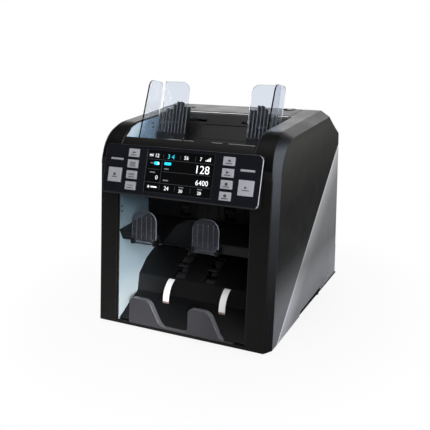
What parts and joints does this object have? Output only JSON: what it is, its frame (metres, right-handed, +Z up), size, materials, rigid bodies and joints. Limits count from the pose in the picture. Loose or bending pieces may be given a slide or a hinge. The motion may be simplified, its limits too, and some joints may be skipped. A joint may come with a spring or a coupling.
{
  "type": "banknote sorter",
  "caption": "Desktop banknote counter and sorter with a top hopper, a reject pocket, a stacker pocket and a tilted control panel with a screen.",
  "frame": {"origin": "middle of the footprint on the surface that the feet stand on", "axes": "+X to the machine's right, +Y to its back (its pockets and panel face -Y), +Z up"},
  "size_m": [0.266, 0.28, 0.323],
  "materials": {
    "cover": "satin, fine grain",
    "bezel": "satin, fine grain",
    "tray": "matt",
    "foot": "matt",
    "steel": "zinc-plated sheet",
    "fascia": "gloss",
    "screen": "gloss screen",
    "key": "satin, silver-grey",
    "bar": "satin light guide",
    "board": "coated laminate",
    "hopper": "matt",
    "clear": "clear",
    "pocket": "satin",
    "shaft": "ground",
    "roller": "matt",
    "wheel": "satin",
    "pale_roller": "matt",
    "bearing": "low-friction plastic",
    "motor": "satin",
    "pulley": "turned",
    "belt": "matt",
    "inlet": "matt",
    "box": "perforated sheet",
    "strip": "polished"
  },
  "bodies": {
    "machine": {"right_cover": "cover", "left_cover": "cover", "left_side_frame": "steel", "right_side_frame": "steel", "front_bezel": "bezel", "base_tray": "tray", "rubber_feet": "foot", "panel_housing": "bezel", "panel_fascia": "fascia", "display_module": "screen", "indicator_bars": "bar", "keypad_board": "board", "hopper_floor": "hopper", "hopper_back_wall": "hopper", "reject_tray": "pocket", "reject_back_plate": "pocket", "stacker_floor": "pocket", "front_stop": "bezel", "stack_guide_strips": "strip", "stacker_back_plate": "pocket", "shaft_bearings": "bearing", "rear_panel": "cover", "mains_inlet": "inlet", "main_motor": "motor", "drive_belt": "belt", "sensor_unit": "box", "power_supply": "box", "main_board": "board", "tie_bars": "shaft"},
    "left_guide": {"left_guide_pane": "clear", "left_guide_carrier": "hopper"},
    "right_guide": {"right_guide_pane": "clear", "right_guide_carrier": "hopper"},
    "left_stop": {"left_reject_stop": "clear"},
    "right_stop": {"right_reject_stop": "clear"},
    "lid": {"top_lid": "cover"},
    "back_door": {"rear_door": "cover"},
    "switch": {"power_switch": "inlet"},
    "pickup": {"pickup_shaft": "shaft", "pickup_rollers": "pale_roller"},
    "feed": {"feed_shaft": "shaft", "feed_rollers": "roller"},
    "retard": {"retard_roller": "roller"},
    "transport": {"transport_shaft": "shaft", "transport_rollers": "roller"},
    "stacker": {"stacker_shaft": "shaft", "stacker_wheels": "wheel"},
    "reject": {"reject_shaft": "shaft", "reject_wheels": "wheel"},
    "motor_drive": {"motor_pulley": "pulley"},
    "left_key_1_cap": {"left_key_1": "key"},
    "left_key_2_cap": {"left_key_2": "key"},
    "left_key_3_cap": {"left_key_3": "key"},
    "left_key_4_cap": {"left_key_4": "key"},
    "left_big_key_cap": {"left_big_key": "key"},
    "right_key_1_cap": {"right_key_1": "key"},
    "right_key_2_cap": {"right_key_2": "key"},
    "right_key_3_cap": {"right_key_3": "key"},
    "right_key_4_cap": {"right_key_4": "key"},
    "right_big_key_cap": {"right_big_key": "key"}
  },
  "joints": [
    {"name": "left_guide_slide", "type": "slide", "parent": "machine", "child": "left_guide", "axis": [1, 0, 0], "range_m": [0, 0.034]},
    {"name": "right_guide_slide", "type": "slide", "parent": "machine", "child": "right_guide", "axis": [-1, 0, 0], "range_m": [0, 0.034]},
    {"name": "left_key_1_press", "type": "slide", "parent": "machine", "child": "left_key_1_cap", "axis": [0, 0.9354, -0.3535], "range_m": [0, 0.0008], "stiffness_N_per_m": 1200, "springref_m": -0.0004},
    {"name": "left_key_2_press", "type": "slide", "parent": "machine", "child": "left_key_2_cap", "axis": [0, 0.9354, -0.3535], "range_m": [0, 0.0008], "stiffness_N_per_m": 1200, "springref_m": -0.0004},
    {"name": "left_key_3_press", "type": "slide", "parent": "machine", "child": "left_key_3_cap", "axis": [0, 0.9354, -0.3535], "range_m": [0, 0.0008], "stiffness_N_per_m": 1200, "springref_m": -0.0004},
    {"name": "left_key_4_press", "type": "slide", "parent": "machine", "child": "left_key_4_cap", "axis": [0, 0.9354, -0.3535], "range_m": [0, 0.0008], "stiffness_N_per_m": 1200, "springref_m": -0.0004},
    {"name": "left_big_key_press", "type": "slide", "parent": "machine", "child": "left_big_key_cap", "axis": [0, 0.9354, -0.3535], "range_m": [0, 0.0008], "stiffness_N_per_m": 1200, "springref_m": -0.0004},
    {"name": "right_key_1_press", "type": "slide", "parent": "machine", "child": "right_key_1_cap", "axis": [0, 0.9354, -0.3535], "range_m": [0, 0.0008], "stiffness_N_per_m": 1200, "springref_m": -0.0004},
    {"name": "right_key_2_press", "type": "slide", "parent": "machine", "child": "right_key_2_cap", "axis": [0, 0.9354, -0.3535], "range_m": [0, 0.0008], "stiffness_N_per_m": 1200, "springref_m": -0.0004},
    {"name": "right_key_3_press", "type": "slide", "parent": "machine", "child": "right_key_3_cap", "axis": [0, 0.9354, -0.3535], "range_m": [0, 0.0008], "stiffness_N_per_m": 1200, "springref_m": -0.0004},
    {"name": "right_key_4_press", "type": "slide", "parent": "machine", "child": "right_key_4_cap", "axis": [0, 0.9354, -0.3535], "range_m": [0, 0.0008], "stiffness_N_per_m": 1200, "springref_m": -0.0004},
    {"name": "right_big_key_press", "type": "slide", "parent": "machine", "child": "right_big_key_cap", "axis": [0, 0.9354, -0.3535], "range_m": [0, 0.0008], "stiffness_N_per_m": 1200, "springref_m": -0.0004},
    {"name": "left_stop_turn", "type": "hinge", "parent": "machine", "child": "left_stop", "pos_m": [-0.0549, -0.1206, 0.123], "axis": [1, 0, 0], "range_deg": [0, 80]},
    {"name": "right_stop_turn", "type": "hinge", "parent": "machine", "child": "right_stop", "pos_m": [0.0382, -0.1206, 0.123], "axis": [1, 0, 0], "range_deg": [0, 80]},
    {"name": "lid_turn", "type": "hinge", "parent": "machine", "child": "lid", "pos_m": [0, 0.13, 0.2295], "axis": [-1, 0, 0], "range_deg": [0, 75]},
    {"name": "door_turn", "type": "hinge", "parent": "machine", "child": "back_door", "pos_m": [0, 0.1325, 0.079], "axis": [-1, 0, 0], "range_deg": [0, 90]},
    {"name": "switch_rock", "type": "hinge", "parent": "machine", "child": "switch", "pos_m": [-0.03402, 0.1355, 0.04], "axis": [1, 0, 0], "range_deg": [-8, 8]},
    {"name": "transport_spin", "type": "hinge", "parent": "machine", "child": "transport", "pos_m": [0, 0.07, 0.15], "axis": [1, 0, 0], "continuous": true},
    {"name": "pickup_spin", "type": "hinge", "parent": "machine", "child": "pickup", "pos_m": [0, -0.006, 0.2245], "axis": [1, 0, 0], "continuous": true},
    {"name": "feed_spin", "type": "hinge", "parent": "machine", "child": "feed", "pos_m": [0, 0.016, 0.2135], "axis": [1, 0, 0], "continuous": true},
    {"name": "retard_spin", "type": "hinge", "parent": "machine", "child": "retard", "pos_m": [0, 0.03177, 0.22927], "axis": [1, 0, 0], "continuous": true},
    {"name": "stacker_spin", "type": "hinge", "parent": "machine", "child": "stacker", "pos_m": [0, -0.042, 0.048], "axis": [1, 0, 0], "continuous": true},
    {"name": "reject_spin", "type": "hinge", "parent": "machine", "child": "reject", "pos_m": [0, -0.02, 0.158], "axis": [1, 0, 0], "continuous": true},
    {"name": "motor_drive_spin", "type": "hinge", "parent": "machine", "child": "motor_drive", "pos_m": [0, 0.088, 0.062], "axis": [1, 0, 0], "continuous": true}
  ],
  "couplings": [
    {"joint": "right_guide_slide", "follows": "left_guide_slide", "ratio": 1},
    {"joint": "pickup_spin", "follows": "transport_spin", "ratio": 2.6087},
    {"joint": "feed_spin", "follows": "transport_spin", "ratio": 2.3077},
    {"joint": "retard_spin", "follows": "transport_spin", "ratio": 0.5},
    {"joint": "stacker_spin", "follows": "transport_spin", "ratio": -0.25},
    {"joint": "reject_spin", "follows": "transport_spin", "ratio": -0.25},
    {"joint": "motor_drive_spin", "follows": "transport_spin", "ratio": 2}
  ]
}
